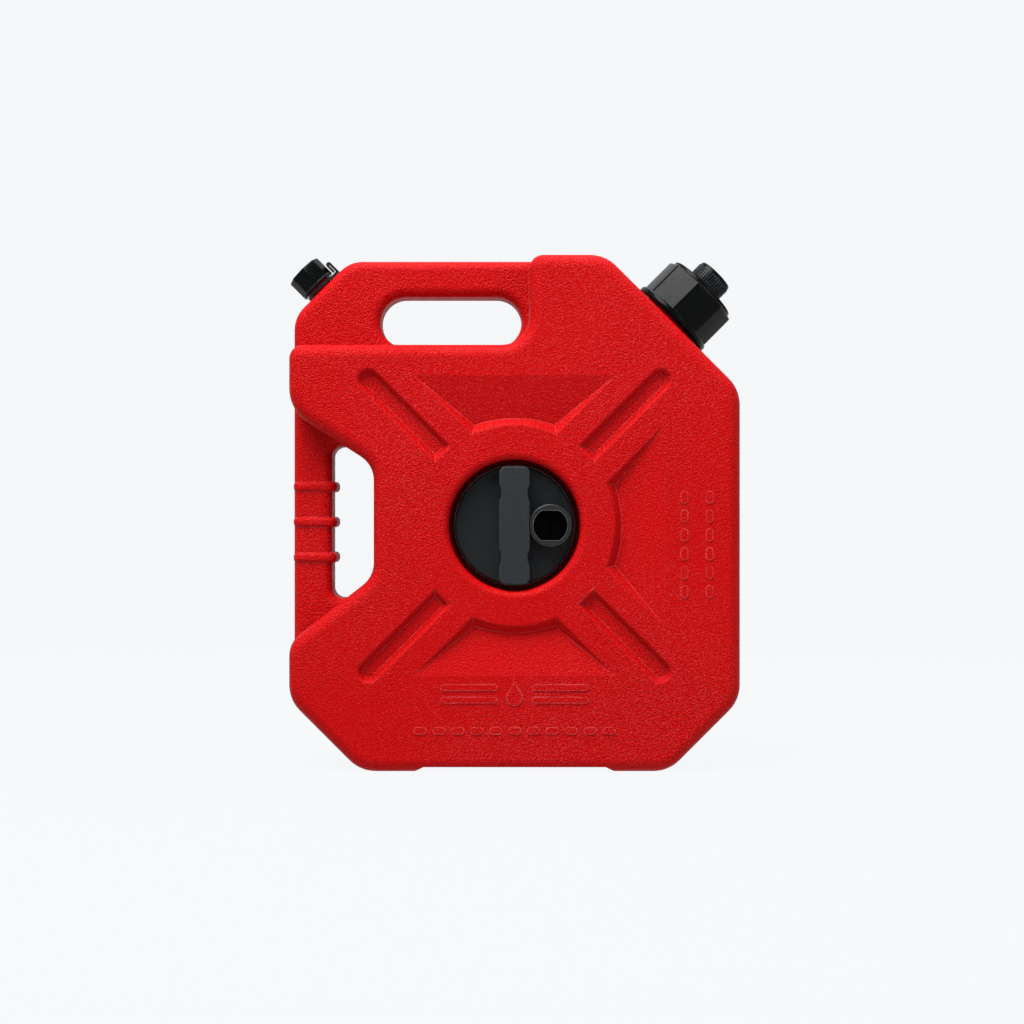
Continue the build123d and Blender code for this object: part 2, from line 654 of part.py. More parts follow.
def make_tether():
    """Strap ring round the vent neck, with its loose end folded up beside the cap."""
    foot = VENT_SKIRT_LIFT - TETHER_THICK - 1.2
    top = foot + TETHER_RISE
    hoop = ring(VENT_ROOT_R + TETHER_HOOP, VENT_ROOT_R + SLIP, foot, foot + TETHER_THICK)
    inner = VENT_CORNER_R + TETHER_CLEAR
    outer = inner + 2 * TETHER_THICK + TETHER_FOLD
    fold_top = (outer + inner) / 2, top - (outer - inner) / 2
    leg = Pos(fold_top[0], (foot + fold_top[1]) / 2) * Rectangle(outer - inner, fold_top[1] - foot)
    shape = leg + Pos(*fold_top) * Circle((outer - inner) / 2)
    slit_low = foot + TETHER_THICK
    shape -= Pos(fold_top[0], (slit_low + fold_top[1]) / 2) * Rectangle(TETHER_FOLD, fold_top[1] - slit_low)
    shape -= Pos(inner, slit_low + 0.6) * Rectangle(2 * TETHER_THICK, 1.2)
    bridge = Pos((VENT_ROOT_R + outer) / 2, foot + TETHER_THICK / 2)
    shape += bridge * Rectangle(outer - VENT_ROOT_R - 1.5, TETHER_THICK)
    across = Plane(origin=(0, 0, 0), x_dir=(0, 1, 0), z_dir=(1, 0, 0))
    strap = extrude(across * shape, TETHER_WIDTH / 2, both=True)
    return VENT * (hoop + strap - rod(VENT_ROOT_R + SLIP, foot - 1, top + 1))


# ---------------------------------------------------------------- pack lock
AT_LOCK = Pos(LOCK_X, 0, 0)


def double_d(gap):
    """Round outline with two flats, shrunk by a gap."""
    return Circle(LOCK_HOLE_R - gap) & Rectangle(3 * LOCK_HOLE_R, 2 * (LOCK_FLAT - gap))


def make_knob_disc():
    """Dark disc with a skirt, a hub for the post and a seat for the key lock."""
    disc = rod(DISC_R, SKIRT_FOOT, DISC_FRONT)
    disc = fillet(disc.faces().sort_by(Axis.Z)[-1].edges(), 1.5)
    disc -= rod(DISC_R - SKIRT_WALL, SKIRT_FOOT - 1, DISC_BACK)
    disc += rod(HUB_R, HUB_FOOT, DISC_BACK)
    disc -= rod(INSERT_R, HUB_FOOT - 1, HUB_FOOT + INSERT_LENGTH)
    disc -= rod(POST_R + THREAD_GAP, HUB_FOOT, DISC_BACK - 1)
    window = CAM_THICK + 1.0
    low = CAM_FOOT - 0.5
    disc -= Pos(HUB_R / 2 + 0.5, 4.0, low + window / 2) * Box(HUB_R + 1, 2 * HUB_R - 7, window)
    disc -= AT_LOCK * rod(BARREL_R + RUNNING, DISC_BACK - 1, DISC_FRONT + 1)
    for side in (-1, 1):
        disc -= Pos(0, side * BAR_SCREW_AT, 0) * rod(BAR_SCREW_R + SLIP, DISC_BACK - 1, DISC_FRONT + 1)
    return LOCK * disc


def make_grip_bar():
    """Long grip across the disc, waisted near both ends and hollowed round the key lock's ring."""
    shape = RectangleRounded(BAR_WIDTH, BAR_LENGTH, BAR_CORNER_R)
    reach = BAR_WIDTH / 2 + BAR_WAIST_R - BAR_WAIST_DEPTH
    for side in (-1, 1):
        for end in (-1, 1):
            shape -= Pos(side * reach, end * BAR_WAIST_AT) * Circle(BAR_WAIST_R)
    bar = Pos(0, 0, DISC_FRONT) * extrude(shape, BAR_FRONT - DISC_FRONT)
    bar = fillet(bar.faces().sort_by(Axis.Z)[-1].edges(), 1.2)
    bar -= AT_LOCK * rod(LOCK_RING_R + SLIP, DISC_FRONT - 1, BAR_FRONT + 1)
    for side in (-1, 1):
        bar -= Pos(0, side * BAR_SCREW_AT, 0) * rod(BAR_SCREW_R, DISC_FRONT - 1, DISC_FRONT + BAR_SCREW_BITE)
    return LOCK * bar


def make_bar_screws():
    """Two pan-head screws through the disc into the grip bar."""
    screw = rod(BAR_SCREW_R - 0.02, DISC_BACK, DISC_FRONT + BAR_SCREW_BITE - 1)
    head = rod(1.8 * BAR_SCREW_R, DISC_BACK - 2.2, DISC_BACK)
    head = fillet(head.faces().sort_by(Axis.Z)[0].edges(), 0.8)
    screw += head
    screw -= Pos(0, 0, DISC_BACK - 2.2) * Box(1.1, 5.0, 2.0)
    screw -= Pos(0, 0, DISC_BACK - 2.2) * Box(5.0, 1.1, 2.0)
    return LOCK * Compound([Pos(0, side * BAR_SCREW_AT, 0) * screw for side in (-1, 1)])


def make_knob_insert():
    """Threaded brass insert in the hub; only its crest diameter is modelled."""
    insert = ring(INSERT_R - 0.02, POST_R + RUNNING, HUB_FOOT, HUB_FOOT + INSERT_LENGTH)
    return LOCK * insert


def make_thrust_ring():
    """Slippery ring between the disc's skirt and the floor of the cup."""
    return LOCK * ring(DISC_R + 1, DISC_R - SKIRT_WALL - 1, CUP_FLOOR, SKIRT_FOOT)


def make_lock_bezel():
    """Ring round the key lock."""
    bezel = rod(LOCK_RING_R, DISC_FRONT, LOCK_RING_FRONT)
    bezel = fillet(bezel.faces().sort_by(Axis.Z)[-1].edges(), 1.0)
    bezel -= Pos(0, 0, DISC_FRONT - 1) * extrude(double_d(0), LOCK_RING_FRONT)
    return LOCK * AT_LOCK * bezel


def make_lock_barrel():
    """Lock barrel: a head with two flats in the ring, its body through the disc."""
    barrel = Pos(0, 0, DISC_FRONT) * extrude(double_d(SLIP), LOCK_HEAD)
    barrel = fillet(barrel.faces().sort_by(Axis.Z)[-1].edges(), 0.4)
    barrel += rod(BARREL_R, CAM_TOP + 0.5, DISC_FRONT)
    barrel -= rod(PLUG_R + RUNNING, CAM_TOP - 1, DISC_FRONT + LOCK_HEAD + 1)
    return LOCK * AT_LOCK * barrel


def make_lock_nut():
    """Thin nut that holds the barrel in the disc."""
    nut = hexagon(LOCK_NUT_FLATS, DISC_BACK - LOCK_NUT, DISC_BACK)
    return LOCK * AT_LOCK * Rot(0, 0, 30) * (nut - rod(BARREL_R + 0.02, 0, DISC_BACK + 1))


def make_lock_plug():
    """Turning plug with the key's slot and a hole for the cam's screw."""
    front = DISC_FRONT + LOCK_HEAD + 0.4
    plug = rod(PLUG_R, CAM_TOP, front)
    plug = fillet(plug.faces().sort_by(Axis.Z)[-1].edges(), 0.4)
    plug -= Pos(0, 0, front - 3) * Box(KEY_SLOT, 1.45 * PLUG_R, 7.0)
    return LOCK * AT_LOCK * (plug - rod(CAM_SCREW_R, CAM_TOP - 1, CAM_TOP + 4.5))


def make_lock_cam():
    """Cam on the plug's rear end; its finger points up when unlocked and enters the post when locked."""
    shape = Circle(PLUG_R) + Pos(0, CAM_REACH / 2) * Rectangle(CAM_FINGER, CAM_REACH)
    cam = Pos(0, 0, CAM_FOOT) * extrude(shape - Circle(CAM_SCREW_R + SLIP), CAM_THICK)
    return LOCK * AT_LOCK * cam


def make_cam_screw():
    """Screw that holds the cam on the plug."""
    head_foot = CAM_FOOT - 1.8
    screw = rod(CAM_SCREW_R - 0.02, CAM_FOOT, CAM_TOP + 4.0) + rod(2 * CAM_SCREW_R, head_foot, CAM_FOOT)
    return LOCK * AT_LOCK * (screw - Pos(0, 0, head_foot) * Box(0.9, 4 * CAM_SCREW_R + 1, 1.6))


# ---------------------------------------------------------------- pack mount
def bolt_places():
    """Places of the four mounting bolts."""
    return [Rot(0, 0, 45 + 90 * k) * Pos(BASE_BOLT_PCD / 2, 0, 0) for k in range(4)]


def make_mount_base():
    """Round plate that is bolted to the vehicle, with a boss that holds the post."""
    base = rod(BASE_R, BASE_BACK, FLANGE_FRONT)
    base = fillet(base.faces().sort_by(Axis.Z)[-1].edges(), 1.0)
    base += rod(BASE_BOSS_R, FLANGE_FRONT - 1, BOSS_FRONT)
    base -= rod(POST_R + SLIP, BASE_BACK - 1, BOSS_FRONT + 1)
    base -= hexagon(POST_HEAD_FLATS + 2 * SLIP, BASE_BACK - 1, HEAD_FOOT + POST_HEAD)
    for place in bolt_places():
        base -= place * rod(BASE_BOLT_R, BASE_BACK - 1, FLANGE_FRONT + 1)
        base -= place * rod(BASE_SINK_R, FLANGE_FRONT - BASE_SINK, FLANGE_FRONT + 1)
    return LOCK * base


def make_base_pad():
    """Rubber pad between the plate and the floor of the rear cup."""
    pad = ring(BASE_R, BASE_BOSS_R + SLIP, FLANGE_FRONT, REAR_FLOOR)
    for place in bolt_places():
        pad -= place * rod(BASE_SINK_R, FLANGE_FRONT - 1, REAR_FLOOR + 1)
    return LOCK * pad


def make_mount_post():
    """Post through the tunnel: a hexagon head, a shank and a keyway at its free end."""
    post = rod(POST_R, HEAD_FOOT, POST_TOP)
    post = chamfer(post.faces().sort_by(Axis.Z)[-1].edges(), 1.2)
    post += hexagon(POST_HEAD_FLATS, HEAD_FOOT, HEAD_FOOT + POST_HEAD)
    floor = POST_R - KEYWAY_DEPTH
    keyway_length = POST_TOP - CAM_FOOT + 3.0
    post -= Pos(floor + POST_R / 2, 0, POST_TOP) * Box(POST_R, KEYWAY_WIDTH, 2 * keyway_length)
    return LOCK * post


def make_post_washer():
    """Washer between the plate's boss and the jam nut."""
    return LOCK * ring(BASE_BOSS_R - 2, POST_R + SLIP, BOSS_FRONT, BOSS_FRONT + JAM_WASHER)


def make_post_nut():
    """Jam nut that locks the post in the plate; only its crest diameter is modelled."""
    foot = BOSS_FRONT + JAM_WASHER
    nut = hexagon(JAM_NUT_FLATS, foot, foot + JAM_NUT)
    return LOCK * (nut - rod(POST_R + 0.02, foot - 1, foot + JAM_NUT + 1))


# ---------------------------------------------------------------- all the pieces
MAKERS = {
    "tank_shell": make_tank,
    "filler_collar": make_collar,
    "spout_base": make_spout_base,
    "spout_nozzle": make_nozzle,
    "spout_gasket": make_spout_gasket,
    "stopper_cap": make_stopper,
    "stopper_seal": make_stopper_seal,
    "vent_cap": make_vent_cap,
    "vent_seal": make_vent_seal,
    "vent_tether": make_tether,
    "knob_disc": make_knob_disc,
    "grip_bar": make_grip_bar,
    "bar_screws": make_bar_screws,
    "knob_insert": make_knob_insert,
    "thrust_ring": make_thrust_ring,
    "lock_bezel": make_lock_bezel,
    "lock_barrel": make_lock_barrel,
    "lock_nut": make_lock_nut,
    "lock_plug": make_lock_plug,
    "lock_cam": make_lock_cam,
    "cam_screw": make_cam_screw,
    "mount_base": make_mount_base,
    "base_pad": make_base_pad,
    "mount_post": make_mount_post,
    "post_washer": make_post_washer,
    "post_nut": make_post_nut,
}

if __name__ == "__main__":
    os.makedirs("parts", exist_ok=True)
    for name, maker in MAKERS.items():
        export_step(maker(), f"parts/{name}.step")
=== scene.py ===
"""Looks of a flat five-litre fuel can with a screw filler, a vent and a keyed pack lock.

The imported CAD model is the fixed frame. Each sub-assembly is a class that dresses its CAD nodes and
models the pieces that stand for some of them. Lengths are metres, in the row frame.
"""

import json
import logging
import math
from contextlib import contextmanager
from dataclasses import dataclass
from enum import Enum
from typing import Callable, ClassVar, Iterator

import bmesh
import bpy
from mathutils import Matrix, Vector

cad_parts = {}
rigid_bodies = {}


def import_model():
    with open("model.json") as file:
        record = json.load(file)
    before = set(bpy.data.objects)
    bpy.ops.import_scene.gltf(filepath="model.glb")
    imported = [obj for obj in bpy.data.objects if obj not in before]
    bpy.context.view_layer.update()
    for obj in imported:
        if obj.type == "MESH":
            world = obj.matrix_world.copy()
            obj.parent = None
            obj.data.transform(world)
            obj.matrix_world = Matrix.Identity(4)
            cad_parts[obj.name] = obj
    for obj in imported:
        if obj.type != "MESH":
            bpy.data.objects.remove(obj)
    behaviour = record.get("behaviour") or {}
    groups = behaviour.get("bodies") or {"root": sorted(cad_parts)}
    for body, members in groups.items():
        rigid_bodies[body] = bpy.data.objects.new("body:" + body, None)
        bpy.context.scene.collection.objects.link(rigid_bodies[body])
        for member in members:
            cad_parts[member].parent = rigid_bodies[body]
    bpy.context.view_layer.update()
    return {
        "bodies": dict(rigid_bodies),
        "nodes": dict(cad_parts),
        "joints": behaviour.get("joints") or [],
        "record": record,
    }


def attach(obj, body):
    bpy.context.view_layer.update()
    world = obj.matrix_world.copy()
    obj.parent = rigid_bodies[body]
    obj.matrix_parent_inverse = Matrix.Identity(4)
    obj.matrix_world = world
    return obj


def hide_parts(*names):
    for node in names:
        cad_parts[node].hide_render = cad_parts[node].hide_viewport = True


LOG = logging.getLogger("fuel_can")
MM = 0.001
OVERLAP = 1 * MM  # how far a cutting or welded solid passes the face that it meets
ROUND = 96  # sides of a round piece
UPRIGHT = 0.1  # a face is upright when its normal's Z is smaller than this
TOWARDS_VIEWER = Vector((0, -1, 0))

Colour = tuple[float, float, float]
Socket = bpy.types.NodeSocket
Value = Socket | float


# ------------------------------------------------------------------ places
@dataclass(frozen=True)
class Reach:
    """How far a round piece goes along its axis and away from it."""

    low: float
    high: float
    radius: float


@dataclass(frozen=True)
class Seat:
    """Where a round sub-assembly sits: its axis is local Z, and its side is local X."""

    origin: Vector
    axis: Vector
    side: Vector

    @classmethod
    def of_joint(cls, frame: dict, joint: str, side: Vector) -> "Seat":
        """Read a hinge's place from the frame.

        Args:
            joint: Name of the hinge.
            side: Direction that becomes local X, square to the axis.

        Returns:
            The seat on that hinge's axis.
        """
        found = next(row for row in frame["joints"] if row["name"] == joint)
        return cls(Vector(found["pos_m"]), Vector(found["axis"]).normalized(), side.normalized())

    def matrix(self) -> Matrix:
        """Work out the seat's matrix.

        Returns:
            The matrix from the seat's own axes to the row frame.
        """
        across = self.axis.cross(self.side)
        turn = Matrix((self.side, across, self.axis)).transposed().to_4x4()
        return Matrix.Translation(self.origin) @ turn

    def measure(self, node: bpy.types.Object) -> Reach:
        """Measure a CAD node about this seat's axis.

        Args:
            node: The node's object.

        Returns:
            Its lowest and highest point along the axis, and its largest radius.
        """
        back = self.matrix().inverted()
        points = [back @ vertex.co for vertex in node.data.vertices]
        heights = [point.z for point in points]
        radius = max(math.hypot(point.x, point.y) for point in points)
        return Reach(min(heights), max(heights), radius)


# ------------------------------------------------------------------ the bench: modelling steps
class Solid(Enum):
    """What happens to a piece where another solid overlaps it."""

    CUT = "DIFFERENCE"
    WELD = "UNION"


class Bench:
    """Operator steps that the sub-assemblies share."""

    round_steps = 4  # segments of a rounded edge
    small_round_steps = 3  # segments of a small piece's rounded edge

    @staticmethod
    def clear_selection() -> None:
        """Deselect every object."""
        if bpy.context.object and bpy.context.object.mode != "OBJECT":
            bpy.ops.object.mode_set(mode="OBJECT")
        bpy.ops.object.select_all(action="DESELECT")

    @classmethod
    def activate(cls, piece: bpy.types.Object) -> None:
        """Make one object the only selected one, and active.

        Args:
            piece: The object.
        """
        cls.clear_selection()
        piece.select_set(True)
        bpy.context.view_layer.objects.active = piece

    @classmethod
    @contextmanager
    def editing(cls, piece: bpy.types.Object) -> Iterator[bmesh.types.BMesh]:
        """Enter edit mode on a piece with nothing selected.

        Args:
            piece: The mesh object to edit.

        Yields:
            The edit mesh, for selecting elements.
        """
        cls.activate(piece)
        bpy.ops.object.mode_set(mode="EDIT")
        bpy.ops.mesh.select_mode(type="FACE")
        bpy.ops.mesh.select_all(action="DESELECT")
        yield bmesh.from_edit_mesh(piece.data)
        bpy.ops.object.mode_set(mode="OBJECT")

    @staticmethod
    def pick_faces(
        mesh: bmesh.types.BMesh,
        piece: bpy.types.Object,
        wanted: Callable[[bmesh.types.BMFace], bool],
    ) -> None:
        """Select only the faces that pass a test.

        Args:
            mesh: The edit mesh.
            piece: The object it belongs to.
            wanted: Test of one face.
        """
        bpy.ops.mesh.select_all(action="DESELECT")
        for face in mesh.faces:
            if wanted(face):
                face.select_set(True)
        bmesh.update_edit_mesh(piece.data)

    @classmethod
    def prism(
        cls, name: str, sides: int, radius: float, low: float, high: float, phase: float = 0.0
    ) -> bpy.types.Object:
        """Add an upright prism or cylinder.

        Args:
            name: Name of the new object.
            sides: Number of side faces.
            radius: Corner radius.
            low: Lower end on the local Z axis.
            high: Upper end on the local Z axis.
            phase: Turn about the axis, in degrees.

        Returns:
            The new object.
        """
        cls.clear_selection()
        bpy.ops.mesh.primitive_cylinder_add(
            vertices=sides,
            radius=radius,
            depth=high - low,
            location=(0, 0, (low + high) / 2),
            rotation=(0, 0, math.radians(phase)),
        )
        piece = bpy.context.object
        piece.name = name
        bpy.ops.object.transform_apply(location=True, rotation=True, scale=True)
        return piece

    @classmethod
    def round_edges(
        cls,
        piece: bpy.types.Object,
        width: float,
        segments: int = round_steps,
        angle: float = 30,
    ) -> None:
        """Round a piece's edges.

        Args:
            piece: The piece.
            width: Width of the rounding.
            segments: Steps across it.
            angle: Only edges sharper than this are rounded, in degrees.
        """
        cls.activate(piece)
        rounding = piece.modifiers.new("rounding", "BEVEL")
        rounding.width = width
        rounding.segments = segments
        rounding.limit_method = "ANGLE"
        rounding.angle_limit = math.radians(angle)
        bpy.ops.object.modifier_apply(modifier=rounding.name)

    @classmethod
    def combine(cls, piece: bpy.types.Object, other: bpy.types.Object, operation: Solid) -> None:
        """Combine a piece with another solid, and delete the other.

        Args:
            piece: The piece, which is changed.
            other: The other solid.
            operation: Whether the other is taken away or added.
        """
        cls.activate(piece)
        step = piece.modifiers.new("combining", "BOOLEAN")
        step.operation = operation.value
        step.solver = "EXACT"
        step.object = other
        bpy.ops.object.modifier_apply(modifier=step.name)
        bpy.data.objects.remove(other, do_unlink=True)

    @classmethod
    def cut(cls, piece: bpy.types.Object, tool: bpy.types.Object) -> None:
        """Cut a tool's space out of a piece.

        Args:
            piece: The piece.
            tool: The solid whose space is cut away.
        """
        cls.combine(piece, tool, Solid.CUT)

    @classmethod
    def weld(cls, piece: bpy.types.Object, other: bpy.types.Object) -> None:
        """Unite another solid with a piece.

        Args:
            piece: The piece.
            other: The solid that is added.
        """
        cls.combine(piece, other, Solid.WELD)

    @classmethod
    def smooth(cls, piece: bpy.types.Object, angle: float = 32) -> None:
        """Shade a piece smooth, with its sharper edges kept crisp.

        Args:
            piece: The piece.
            angle: Edges sharper than this stay crisp, in degrees.
        """
        cls.activate(piece)
        bpy.ops.object.shade_smooth_by_angle(angle=math.radians(angle))

    @classmethod
    def place(cls, piece: bpy.types.Object, seat: Seat) -> None:
        """Put a piece's place into its mesh, so that its object sits at the origin.

        Args:
            piece: The piece, modelled about the local Z axis.
            seat: Where it goes.
        """
        piece.matrix_world = seat.matrix()
        cls.activate(piece)
        bpy.ops.object.transform_apply(location=True, rotation=True, scale=True)

    @classmethod
    def ribs(
        cls, piece: bpy.types.Object, low: float, high: float, proud: float, margin: float
    ) -> None:
        """Raise every other upright side face between two heights into a rib.

        Args:
            piece: A prism about the local Z axis.
            low: The ribbed band's foot.
            high: The ribbed band's top.
            proud: How far each rib stands out.
            margin: Setback of each rib from its face's edges.
        """
        with cls.editing(piece):
            for height in (low, high):
                bpy.ops.mesh.select_all(action="SELECT")
                bpy.ops.mesh.bisect(plane_co=(0, 0, height), plane_no=(0, 0, 1))
            mesh = bmesh.from_edit_mesh(piece.data)
            sides = [face for face in mesh.faces if abs(face.normal.z) < UPRIGHT]
            band = [face for face in sides if low < face.calc_center_median().z < high]
            band.sort(key=lambda face: math.atan2(face.normal.y, face.normal.x))
            chosen = set(band[::2])
            cls.pick_faces(mesh, piece, lambda face: face in chosen)
            bpy.ops.mesh.inset(use_individual=True, thickness=margin, depth=proud)


# ------------------------------------------------------------------ finishes
@dataclass(frozen=True)
class Cloud:
    """Noise whose middle band is stretched to the range from out_low to out_high."""

    size: float
    detail: float = 3.0
    rough: float = 0.5
    low: float = 0.3
    high: float = 0.7
    out_low: float = 0.0
    out_high: float = 1.0


class Nodes:
    """A material's node tree, built one plain step at a time."""

    cell_softness = 0.6
    bevel_rays = 4
    edge_dot = 0.80  # cosine between a flat's normal and the rounded one that counts as an edge

    def __init__(self, name: str) -> None:
        """Start an empty material with a principled shader.

        Args:
            name: Name of the material.
        """
        self.material = bpy.data.materials.new(name)
        self.material.use_nodes = True
        self.tree = self.material.node_tree
        self.tree.nodes.clear()
        self.output = self.tree.nodes.new("ShaderNodeOutputMaterial")
        self.shader = self.tree.nodes.new("ShaderNodeBsdfPrincipled")
        self.tree.links.new(self.shader.outputs["BSDF"], self.output.inputs["Surface"])
        self.coords = self.tree.nodes.new("ShaderNodeTexCoord").outputs["Object"]

    def link(self, source: Socket, target: Socket) -> None:
        """Join two sockets.

        Args:
            source: The output.
            target: The input.
        """
        self.tree.links.new(source, target)

    def feed(self, slot: Socket, value: Value) -> None:
        """Give an input its value.

        Args:
            slot: The input.
            value: A socket to link to it, or a plain number.
        """
        if isinstance(value, (int, float)):
            slot.default_value = value
        else:
            self.link(value, slot)

    def noise(self, size: float, detail: float = 3.0, rough: float = 0.5) -> Socket:
        """Add noise.

        Args:
            size: About the size of its features, in metres.
            detail: How many finer layers it has.
            rough: How strong the finer layers are.

        Returns:
            The noise, about 0.5 on average.
        """
        node = self.tree.nodes.new("ShaderNodeTexNoise")
        node.inputs["Scale"].default_value = 1 / size
        node.inputs["Detail"].default_value = detail
        node.inputs["Roughness"].default_value = rough
        self.link(self.coords, node.inputs["Vector"])
        return node.outputs["Fac"]

    def pebbles(self, size: float) -> Socket:
        """Add rounded cells.

        Args:
            size: About the size of a cell, in metres.

        Returns:
            The distance from the middle of the nearest cell, in cells.
        """
        node = self.tree.nodes.new("ShaderNodeTexVoronoi")
        node.feature = "SMOOTH_F1"
        node.inputs["Scale"].default_value = 1 / size
        node.inputs["Smoothness"].default_value = self.cell_softness
        self.link(self.coords, node.inputs["Vector"])
        return node.outputs["Distance"]

    def spread(
        self, value: Socket, low: float, high: float, out_low: float = 0.0, out_high: float = 1.0
    ) -> Socket:
        """Map one range of a value to another, clamped.

        Args:
            value: The value.
            low: Start of the range that is mapped.
            high: End of it.
            out_low: What the start becomes.
            out_high: What the end becomes.

        Returns:
            The mapped value.
        """
        node = self.tree.nodes.new("ShaderNodeMapRange")
        node.inputs["From Min"].default_value = low
        node.inputs["From Max"].default_value = high
        node.inputs["To Min"].default_value = out_low
        node.inputs["To Max"].default_value = out_high
        self.link(value, node.inputs["Value"])
        return node.outputs["Result"]

    def cloud(self, cloud: Cloud) -> Socket:
        """Add noise with its middle band stretched.

        Args:
            cloud: The noise and the range that it is stretched to.

        Returns:
            The stretched noise.
        """
        noise = self.noise(cloud.size, cloud.detail, cloud.rough)
        return self.spread(noise, cloud.low, cloud.high, cloud.out_low, cloud.out_high)

    def math(self, kind: str, first: Value, second: Value) -> Socket:
        """Add one step of arithmetic.

        Args:
            kind: Blender's name for the operation.
            first: First value.
            second: Second value.

        Returns:
            The result.
        """
        node = self.tree.nodes.new("ShaderNodeMath")
        node.operation = kind
        for slot, value in zip(node.inputs, (first, second)):
            self.feed(slot, value)
        return node.outputs["Value"]

    def blend(self, share: Socket, first: Socket | Colour, second: Socket | Colour) -> Socket:
        """Mix two colours.

        Args:
            share: How much of the second there is, from 0 to 1.
            first: The colour at 0.
            second: The colour at 1.

        Returns:
            The mixed colour.
        """
        node = self.tree.nodes.new("ShaderNodeMix")
        node.data_type = "RGBA"
        self.link(share, node.inputs["Factor"])
        for label, value in (("A", first), ("B", second)):
            slot = next(s for s in node.inputs if s.name == label and s.type == "RGBA")
            if isinstance(value, tuple):
                slot.default_value = (*value, 1.0)
            else:
                self.link(value, slot)
        return next(s for s in node.outputs if s.type == "RGBA")

    def bump(self, height: Socket, depth: float, below: Socket | None = None) -> Socket:
        """Add a bump.

        Args:
            height: The bump's height, from 0 to 1.
            depth: What a height of 1 stands for, in metres.
            below: Normal of another bump that this one lies on.

        Returns:
            The bumped normal.
        """
        node = self.tree.nodes.new("ShaderNodeBump")
        node.inputs["Strength"].default_value = 1.0
        node.inputs["Distance"].default_value = depth
        self.link(height, node.inputs["Height"])
        if below is not None:
            self.link(below, node.inputs["Normal"])
        return node.outputs["Normal"]

    def edges(self, radius: float) -> Socket:
        """Find the edges.

        Args:
            radius: How far an edge reaches, in metres.

        Returns:
            How near a point is to an edge: 0 on flats, up to 1 on a sharp edge.
        """
        rounded = self.tree.nodes.new("ShaderNodeBevel")
        rounded.samples = self.bevel_rays
        rounded.inputs["Radius"].default_value = radius
        plain = self.tree.nodes.new("ShaderNodeNewGeometry")
        dot = self.tree.nodes.new("ShaderNodeVectorMath")
        dot.operation = "DOT_PRODUCT"
        self.link(rounded.outputs["Normal"], dot.inputs[0])
        self.link(plain.outputs["Normal"], dot.inputs[1])
        return self.spread(dot.outputs["Value"], 1.0, self.edge_dot)


class Sheen(Enum):
    """How glossy a plastic or metal is."""

    MATT = 0.62
    SATIN = 0.44
    GLOSS = 0.24


@dataclass(frozen=True)
class MouldedPlastic:
    """Plastic with a moulded grain, uneven gloss, and a painted highlight on its edges.

    The grain is rounded pebbles with finer noise on them. Its depth, and how strong the painted
    highlight on its crests is, change slowly over the piece.
    """

    name: str
    colour: Colour
    # lighter colour of the painted highlight on the edges and the grain's crests
    highlight_colour: Colour
    sheen: Sheen
    specular: float = 0.5
    grain: float = 1.4 * MM
    depth: float = 0.10 * MM
    fine_depth: float = 0.02 * MM
    mottle: float = 0.12
    glint: float = 0.0
    edge: float = 0.8 * MM

    mottle_patches: ClassVar[Cloud] = Cloud(38 * MM, 4.0, 0.6)
    # patches that make the painted edge highlight uneven
    edge_highlight_patches: ClassVar[Cloud] = Cloud(9 * MM, low=0.35, high=0.65, out_low=0.3)
    gloss_patches: ClassVar[Cloud] = Cloud(6 * MM, 5.0, 0.65, out_low=-0.07, out_high=0.07)
    crest_patches: ClassVar[Cloud] = Cloud(110 * MM, 1.0, low=0.35, high=0.65, out_low=0.35)
    depth_patches: ClassVar[Cloud] = Cloud(90 * MM, 1.0, low=0.35, high=0.65, out_low=0.55)
    crest_band: ClassVar[tuple[float, float]] = (0.52, 0.80)  # from a crest's foot to its top
    pebble_band: ClassVar[tuple[float, float]] = (0.1, 0.75)  # from a pebble's top to its foot
    crest_size: ClassVar[float] = 0.7  # these three are shares of the grain
    lump_size: ClassVar[float] = 0.6
    fine_size: ClassVar[float] = 0.25

    def build(self) -> bpy.types.Material:
        """Make the material.

        Returns:
            The material.
        """
        nodes = Nodes(self.name)
        nodes.link(self.tint(nodes), nodes.shader.inputs["Base Color"])
        rough = nodes.math("ADD", nodes.cloud(self.gloss_patches), self.sheen.value)
        nodes.link(rough, nodes.shader.inputs["Roughness"])
        nodes.shader.inputs["Specular IOR Level"].default_value = self.specular
        nodes.link(self.relief(nodes), nodes.shader.inputs["Normal"])
        return nodes.material

    def tint(self, nodes: Nodes) -> Socket:
        """Mottle the colour, and paint highlights on the edges and on the grain's crests.

        Args:
            nodes: The material's nodes.

        Returns:
            The colour.
        """
        darker = tuple(c * (1 - self.mottle) for c in self.colour)
        colour = nodes.blend(nodes.cloud(self.mottle_patches), darker, self.colour)
        # painted highlight along the edges, in patches
        painted_highlight = nodes.math("MULTIPLY", nodes.edges(self.edge), nodes.cloud(self.edge_highlight_patches))
        colour = nodes.blend(painted_highlight, colour, self.highlight_colour)
        # painted glint on the grain's crests, stronger in broad patches
        crest_size = self.grain * self.crest_size
        crests = Cloud(crest_size, 2.0, 0.6, *self.crest_band, out_high=self.glint)
        painted_highlight = nodes.math("MULTIPLY", nodes.cloud(crests), nodes.cloud(self.crest_patches))
        return nodes.blend(painted_highlight, colour, self.highlight_colour)

    def relief(self, nodes: Nodes) -> Socket:
        """Lay the moulded grain.

        Args:
            nodes: The material's nodes.

        Returns:
            The bumped normal.
        """
        pebbled = nodes.spread(nodes.pebbles(self.grain), *self.pebble_band, 1.0, 0.0)
        finer = nodes.noise(self.grain * self.lump_size, 1.0)
        lumps = nodes.math("ADD", pebbled, finer)
        height = nodes.math("MULTIPLY", lumps, nodes.cloud(self.depth_patches))
        coarse = nodes.bump(height, self.depth)
        fine = nodes.noise(self.grain * self.fine_size, 2.0)
        return nodes.bump(fine, self.fine_depth, coarse)


